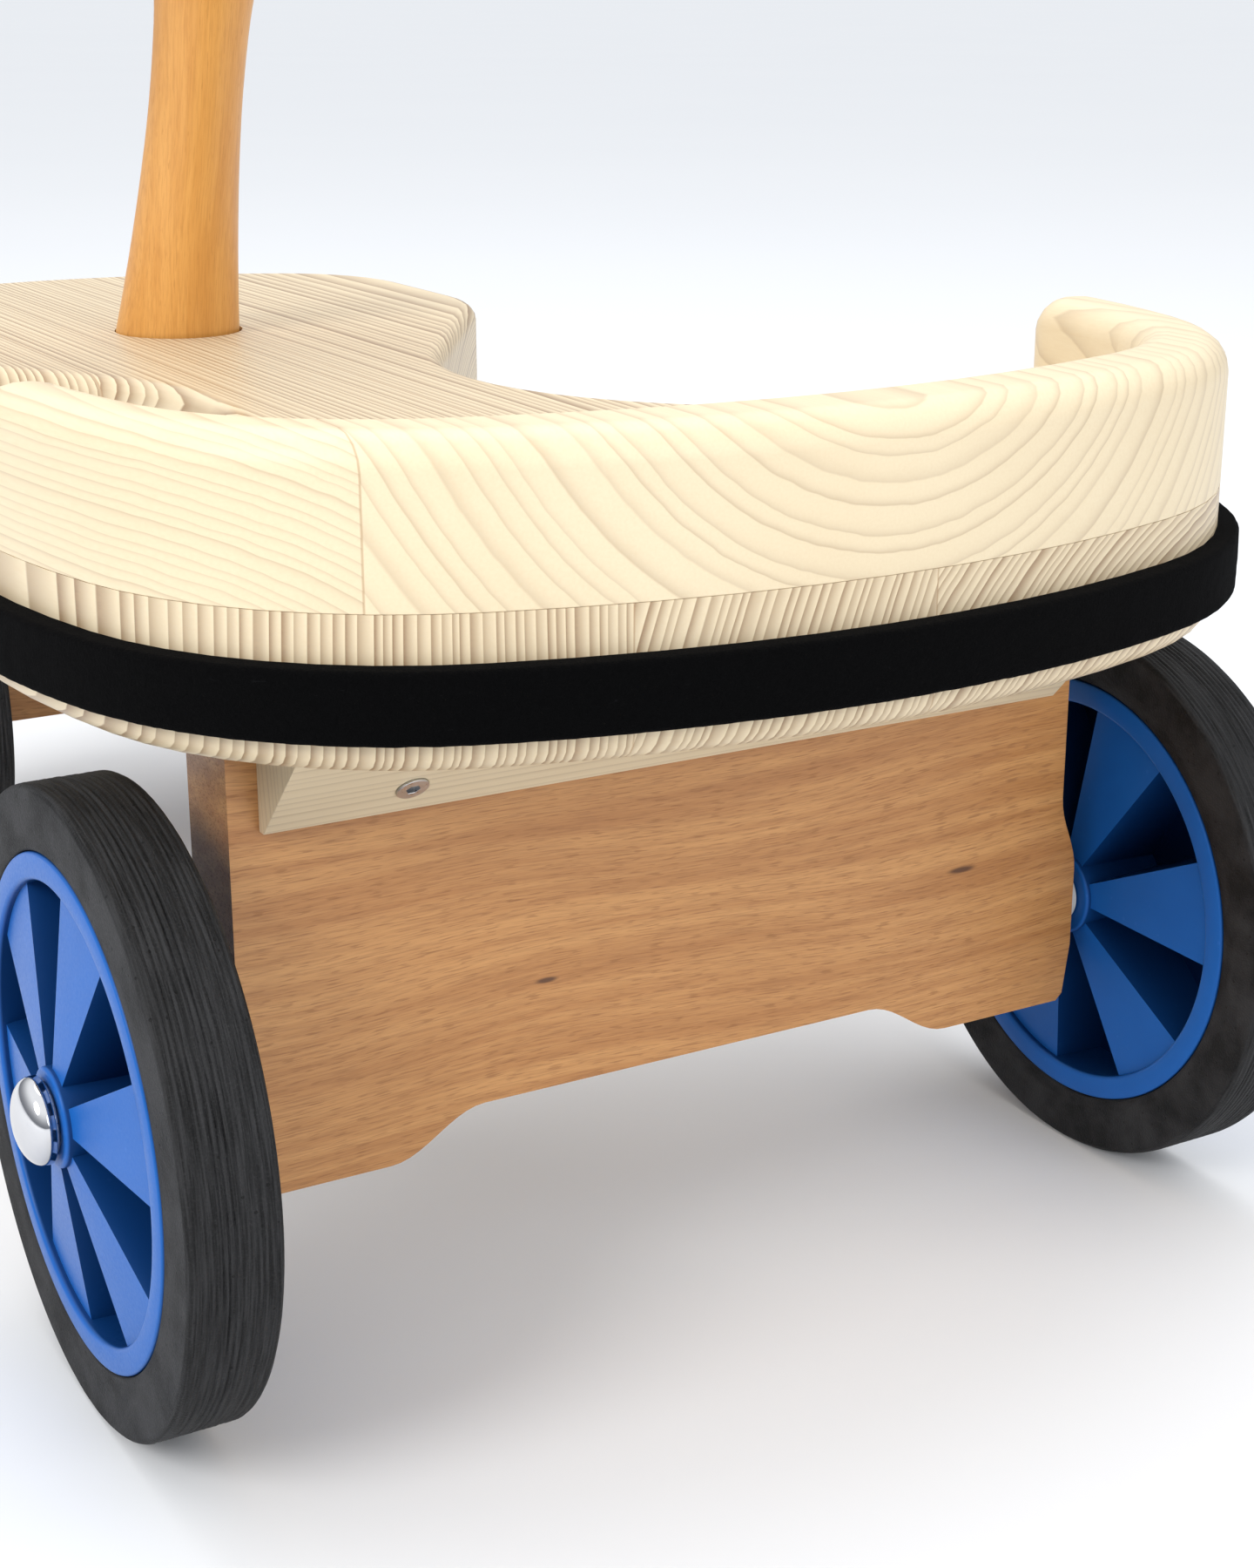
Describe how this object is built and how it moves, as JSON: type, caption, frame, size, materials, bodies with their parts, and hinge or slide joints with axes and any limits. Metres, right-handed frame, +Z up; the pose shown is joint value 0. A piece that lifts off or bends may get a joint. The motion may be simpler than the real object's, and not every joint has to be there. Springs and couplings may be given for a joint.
{
  "type": "wooden balance ride-on",
  "caption": "Low wooden ride-on: waisted pine seat plate with a low rim, felt bumper strip, beech axle boards, rubber wheels on blue hubs, and a leaning post that steers the front axle.",
  "frame": {"origin": "on the floor, under the middle of the ride-on's length and width", "axes": "+X to the rider's right, +Y forward (the way the rider faces), +Z up"},
  "size_m": [0.3442, 0.61, 0.3997],
  "materials": {
    "pine": "pale pine, lightly oiled, satin",
    "beech": "steamed beech, lightly oiled, satin",
    "turned_beech": "turned beech, oiled, satin",
    "dowel_beech": "plain beech dowel",
    "felt": "pressed wool felt, matt",
    "screw_steel": "zinc-plated, countersunk",
    "axle_steel": "bright drawn steel",
    "slide_plastic": "natural nylon",
    "tyre": "solid rubber, finely grooved tread",
    "hub_blue": "moulded blue plastic, soft gloss",
    "cap_chrome": "polished push-on cap"
  },
  "bodies": {
    "frame": {"seat_plate": "pine", "backrest_rim": "pine", "rim_dowels": "dowel_beech", "felt_bumper": "felt", "rear_axle_board": "beech", "rear_board_dowels": "dowel_beech", "rear_cleat": "pine", "inner_cleat": "pine", "rear_cleat_screws": "screw_steel", "rear_axle": "axle_steel", "rear_left_spacer": "slide_plastic", "rear_left_washer": "axle_steel", "rear_left_cap": "cap_chrome", "rear_right_spacer": "slide_plastic", "rear_right_washer": "axle_steel", "rear_right_cap": "cap_chrome", "steering_wedge": "pine", "wedge_screws": "screw_steel", "upper_slide_washer": "slide_plastic", "lower_slide_washer": "slide_plastic"},
    "steering": {"steering_post": "turned_beech", "left_handle": "turned_beech", "right_handle": "turned_beech", "turntable": "beech", "front_axle_board": "beech", "post_cross_pin": "dowel_beech", "front_board_rear_cleat": "pine", "front_board_front_cleat": "pine", "front_cleat_screws": "screw_steel", "front_axle": "axle_steel", "front_left_spacer": "slide_plastic", "front_left_washer": "axle_steel", "front_left_cap": "cap_chrome", "front_right_spacer": "slide_plastic", "front_right_washer": "axle_steel", "front_right_cap": "cap_chrome"},
    "rear_left_wheel": {"rear_left_tyre": "tyre", "rear_left_hub": "hub_blue"},
    "rear_right_wheel": {"rear_right_tyre": "tyre", "rear_right_hub": "hub_blue"},
    "front_left_wheel": {"front_left_tyre": "tyre", "front_left_hub": "hub_blue"},
    "front_right_wheel": {"front_right_tyre": "tyre", "front_right_hub": "hub_blue"}
  },
  "joints": [
    {"name": "steer", "type": "hinge", "parent": "frame", "child": "steering", "pos_m": [0, 0.182, 0.0775], "axis": [0, -0.342, 0.9397], "range_deg": [-28, 28]},
    {"name": "rear_left_roll", "type": "hinge", "parent": "frame", "child": "rear_left_wheel", "pos_m": [-0.1483, -0.203, 0.0775], "axis": [-1, 0, 0], "continuous": true},
    {"name": "rear_right_roll", "type": "hinge", "parent": "frame", "child": "rear_right_wheel", "pos_m": [0.1483, -0.203, 0.0775], "axis": [-1, 0, 0], "continuous": true},
    {"name": "front_left_roll", "type": "hinge", "parent": "steering", "child": "front_left_wheel", "pos_m": [-0.09, 0.182, 0.0775], "axis": [-1, 0, 0], "continuous": true},
    {"name": "front_right_roll", "type": "hinge", "parent": "steering", "child": "front_right_wheel", "pos_m": [0.09, 0.182, 0.0775], "axis": [-1, 0, 0], "continuous": true}
  ]
}
